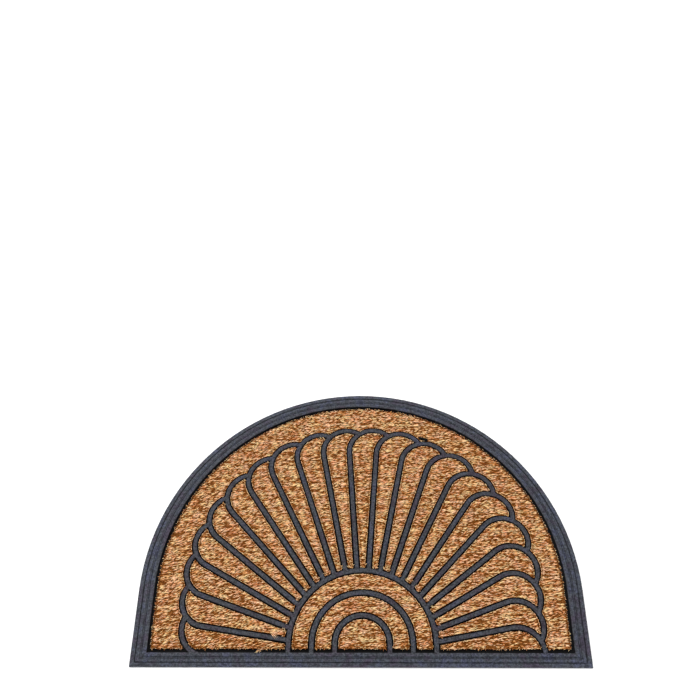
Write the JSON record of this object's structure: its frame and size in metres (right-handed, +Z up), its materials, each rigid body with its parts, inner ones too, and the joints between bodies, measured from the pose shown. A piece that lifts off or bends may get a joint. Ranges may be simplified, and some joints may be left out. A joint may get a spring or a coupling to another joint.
{
  "type": "half-round doormat",
  "caption": "Flat half-round doormat: a moulded rubber base with a stepped border, arches and a fan of hooked ribs, filled with inlays of coir pile for wiping shoes.",
  "frame": {"origin": "on the floor, under the middle of the mat's bounding box", "axes": "+X along the straight front edge, +Y towards the round side, +Z up out of the pile"},
  "size_m": [0.6, 0.4, 0.0086],
  "materials": {
    "rubber": "moulded, dull satin with a fine mottle",
    "coir": "coarse cut pile of coconut fibre in even rows"
  },
  "bodies": {
    "root": {"rubber_moulding": "rubber", "coir_centre": "coir", "coir_band_inner": "coir", "coir_band_outer": "coir", "coir_surround": "coir", "coir_petal_01": "coir", "coir_petal_02": "coir", "coir_petal_03": "coir", "coir_petal_04": "coir", "coir_petal_05": "coir", "coir_petal_06": "coir", "coir_petal_07": "coir", "coir_petal_08": "coir", "coir_petal_09": "coir", "coir_petal_10": "coir", "coir_petal_11": "coir", "coir_petal_12": "coir", "coir_petal_13": "coir", "coir_petal_14": "coir", "coir_petal_15": "coir", "coir_petal_16": "coir", "coir_petal_17": "coir", "coir_petal_18": "coir", "coir_petal_19": "coir", "coir_petal_20": "coir", "coir_petal_21": "coir"}
  },
  "joints": []
}
